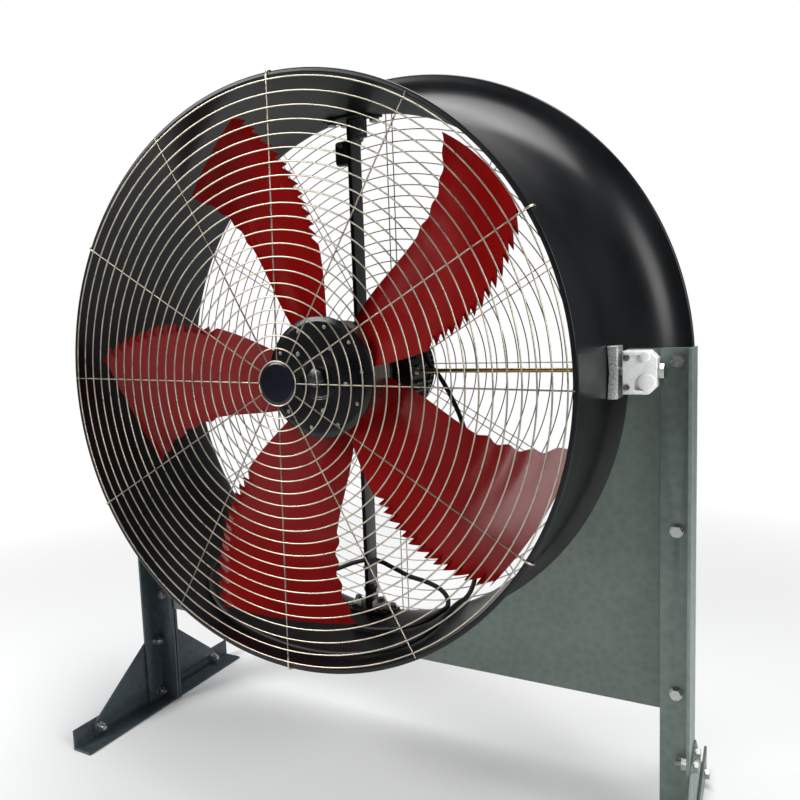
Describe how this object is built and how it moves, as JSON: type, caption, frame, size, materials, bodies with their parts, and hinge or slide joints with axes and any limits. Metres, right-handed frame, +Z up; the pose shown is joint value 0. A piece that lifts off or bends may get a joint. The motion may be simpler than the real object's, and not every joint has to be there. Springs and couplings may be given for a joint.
{
  "type": "drum fan",
  "caption": "Large drum fan with red blades behind wire guards, a flared inlet bell and a tilting mount on a bolted steel floor stand.",
  "frame": {"origin": "on the floor, in the middle between the two feet and midway between the outlet guard and the rear ends of the feet", "axes": "+X to the right seen from the air outlet, +Y from the outlet to the inlet along the impeller axis at rest, +Z up"},
  "size_m": [1.2306, 0.5042, 1.3795],
  "materials": {
    "panel_grey": "galvanised sheet, dull grey-green",
    "frame_zinc": "galvanised steel angle, bluish grey",
    "bolt_steel": "zinc-plated",
    "bright_zinc": "bright zinc plate",
    "drum_black": "satin black coating on rolled steel",
    "guard_wire": "zinc-plated round wire",
    "strut_black": "semi-matt black paint",
    "motor_casing": "dark grey machine paint",
    "gland_black": "moulded nylon",
    "cable_black": "smooth rubber sheath",
    "hub_silver": "turned",
    "hub_black": "gloss black",
    "blade_red": "deep glossy red"
  },
  "bodies": {
    "stand": {"foot_left": "frame_zinc", "foot_right": "frame_zinc", "gusset_bolt_front_lower_left": "bolt_steel", "gusset_bolt_front_lower_right": "bolt_steel", "gusset_bolt_front_toe_left": "bolt_steel", "gusset_bolt_front_toe_right": "bolt_steel", "gusset_bolt_front_upper_left": "bolt_steel", "gusset_bolt_front_upper_right": "bolt_steel", "gusset_bolt_rear_lower_left": "bolt_steel", "gusset_bolt_rear_lower_right": "bolt_steel", "gusset_bolt_rear_toe_left": "bolt_steel", "gusset_bolt_rear_toe_right": "bolt_steel", "gusset_bolt_rear_upper_left": "bolt_steel", "gusset_bolt_rear_upper_right": "bolt_steel", "gusset_front_left": "frame_zinc", "gusset_front_right": "frame_zinc", "gusset_rear_left": "frame_zinc", "gusset_rear_right": "frame_zinc", "panel_bolt_1_left": "bolt_steel", "panel_bolt_1_right": "bolt_steel", "panel_bolt_2_left": "bolt_steel", "panel_bolt_2_right": "bolt_steel", "panel_bolt_3_left": "bolt_steel", "panel_bolt_3_right": "bolt_steel", "pivot_clamp_left": "bright_zinc", "pivot_clamp_right": "bright_zinc", "stand_panel": "panel_grey", "upright_front_left": "frame_zinc", "upright_front_right": "frame_zinc", "upright_rear_left": "frame_zinc", "upright_rear_right": "frame_zinc"},
    "drum": {"cable_gland": "gland_black", "drum_shell": "drum_black", "front_guard": "guard_wire", "motor_body": "motor_casing", "motor_cover": "motor_casing", "motor_flange": "motor_casing", "motor_plate": "strut_black", "motor_strut": "strut_black", "pivot_pin_left": "bolt_steel", "pivot_pin_right": "bolt_steel", "pivot_saddle_left": "bright_zinc", "pivot_saddle_right": "bright_zinc", "rear_guard": "guard_wire", "shaft_bearing": "bolt_steel", "stay_rod_left": "bolt_steel", "stay_rod_right": "bolt_steel", "strut_foot_bottom": "strut_black", "strut_foot_top": "strut_black", "supply_cable": "cable_black", "terminal_box": "motor_casing"},
    "impeller": {"blade_1": "blade_red", "blade_2": "blade_red", "blade_3": "blade_red", "blade_4": "blade_red", "blade_5": "blade_red", "hub_back_disc": "hub_black", "hub_barrel": "hub_silver", "hub_front_disc": "hub_black", "motor_shaft": "bolt_steel"}
  },
  "joints": [
    {"name": "drum_tilt", "type": "hinge", "parent": "stand", "child": "drum", "pos_m": [0, -0.00385, 0.792], "axis": [1, 0, 0], "range_deg": [-4, 15]},
    {"name": "impeller_spin", "type": "hinge", "parent": "drum", "child": "impeller", "pos_m": [0, 0, 0.792], "axis": [0, 1, 0], "continuous": true}
  ]
}
